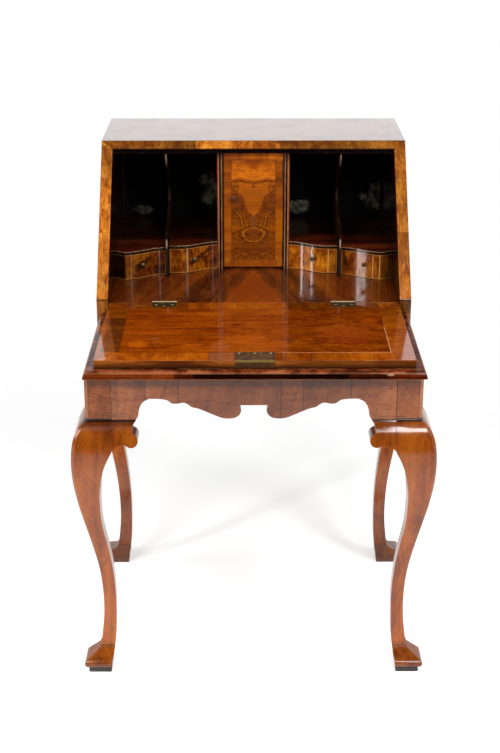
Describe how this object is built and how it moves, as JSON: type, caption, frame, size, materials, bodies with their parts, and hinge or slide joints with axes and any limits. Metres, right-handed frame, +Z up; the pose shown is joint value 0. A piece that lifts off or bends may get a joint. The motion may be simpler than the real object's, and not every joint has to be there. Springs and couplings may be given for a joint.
{
  "type": "bureau on stand",
  "caption": "Slope-front walnut bureau with a fitted interior and a fall that opens to a writing surface, on a cabriole-leg stand.",
  "frame": {"origin": "on the floor, under the middle of the bureau's box with the fall open", "axes": "+X to the sitter's right, +Y from the sitter to the back, +Z up"},
  "size_m": [0.69, 0.7956, 1.0241],
  "materials": {
    "walnut_veneer": "french-polished figured walnut veneer",
    "walnut_crossbanding": "polished cross-banded walnut veneer",
    "walnut_solid": "polished solid walnut",
    "aged_inner_wood": "dark, dry, unpolished old wood",
    "oak_lining": "dry, unpolished oak",
    "aged_brass": "dull, tarnished",
    "ebonised_pad": "matt black-stained wood"
  },
  "bodies": {
    "case_and_stand": {"case_side_left": "walnut_veneer", "case_side_right": "walnut_veneer", "case_top": "walnut_crossbanding", "case_back": "aged_inner_wood", "case_bottom": "oak_lining", "writing_bed": "walnut_veneer", "front_rail": "walnut_veneer", "loper_guide_left": "oak_lining", "loper_guide_right": "oak_lining", "bed_hinge_leaf_left": "aged_brass", "bed_hinge_leaf_right": "aged_brass", "nest_top": "aged_inner_wood", "divider_left": "walnut_veneer", "divider_right": "walnut_veneer", "cupboard_wall_left": "walnut_veneer", "cupboard_wall_right": "walnut_veneer", "inner_drawer_left_shelf": "aged_inner_wood", "inner_drawer_right_shelf": "aged_inner_wood", "outer_drawer_left_shelf": "aged_inner_wood", "outer_drawer_right_shelf": "aged_inner_wood", "wall_hinge_leaf_lower": "aged_brass", "wall_hinge_leaf_upper": "aged_brass", "waist_moulding": "walnut_crossbanding", "front_apron": "walnut_veneer", "side_apron_left": "walnut_veneer", "side_apron_right": "walnut_veneer", "back_rail": "walnut_solid", "leg_front_left": "walnut_solid", "leg_front_right": "walnut_solid", "leg_rear_left": "walnut_solid", "leg_rear_right": "walnut_solid", "front_knee_bracket_front_left": "walnut_solid", "front_knee_bracket_front_right": "walnut_solid", "side_knee_bracket_front_left": "walnut_solid", "side_knee_bracket_front_right": "walnut_solid", "side_knee_bracket_rear_left": "walnut_solid", "side_knee_bracket_rear_right": "walnut_solid", "foot_pad_front_left": "ebonised_pad", "foot_pad_front_right": "ebonised_pad", "foot_pad_rear_left": "ebonised_pad", "foot_pad_rear_right": "ebonised_pad"},
    "fall": {"fall_board": "walnut_veneer", "fall_hinge_leaf_left": "aged_brass", "fall_hinge_leaf_right": "aged_brass", "lock_plate": "aged_brass"},
    "bolt": {"lock_bolt": "aged_brass"},
    "left_loper": {"loper_left": "walnut_solid"},
    "right_loper": {"loper_right": "walnut_solid"},
    "left_inner_drawer": {"inner_drawer_left": "walnut_veneer", "inner_drawer_left_knob": "aged_brass"},
    "right_inner_drawer": {"inner_drawer_right": "walnut_veneer", "inner_drawer_right_knob": "aged_brass"},
    "left_outer_drawer": {"outer_drawer_left": "walnut_veneer", "outer_drawer_left_knob": "aged_brass"},
    "right_outer_drawer": {"outer_drawer_right": "walnut_veneer", "outer_drawer_right_knob": "aged_brass"},
    "door": {"cupboard_door": "walnut_veneer", "door_knob": "walnut_solid", "door_hinge_leaf_lower": "aged_brass", "door_hinge_leaf_upper": "aged_brass"}
  },
  "joints": [
    {"name": "fall_hinge", "type": "hinge", "parent": "case_and_stand", "child": "fall", "pos_m": [0, -0.07184, 0.76227], "axis": [-1, 0, 0], "range_deg": [0, 129.2]},
    {"name": "bolt_slide", "type": "slide", "parent": "fall", "child": "bolt", "axis": [0, -1, 0], "range_m": [0, 0.012]},
    {"name": "left_loper_slide", "type": "slide", "parent": "case_and_stand", "child": "left_loper", "axis": [0, 1, 0], "range_m": [0, 0.18]},
    {"name": "right_loper_slide", "type": "slide", "parent": "case_and_stand", "child": "right_loper", "axis": [0, 1, 0], "range_m": [0, 0.18]},
    {"name": "left_inner_drawer_slide", "type": "slide", "parent": "case_and_stand", "child": "left_inner_drawer", "axis": [0, 1, 0], "range_m": [-0.14, 0]},
    {"name": "right_inner_drawer_slide", "type": "slide", "parent": "case_and_stand", "child": "right_inner_drawer", "axis": [0, 1, 0], "range_m": [-0.14, 0]},
    {"name": "left_outer_drawer_slide", "type": "slide", "parent": "case_and_stand", "child": "left_outer_drawer", "axis": [0, 1, 0], "range_m": [-0.14, 0]},
    {"name": "right_outer_drawer_slide", "type": "slide", "parent": "case_and_stand", "child": "right_outer_drawer", "axis": [0, 1, 0], "range_m": [-0.14, 0]},
    {"name": "door_hinge", "type": "hinge", "parent": "case_and_stand", "child": "door", "pos_m": [0.0586, 0.14724, 0.76527], "axis": [0, 0, -1], "range_deg": [-90, 0]}
  ]
}
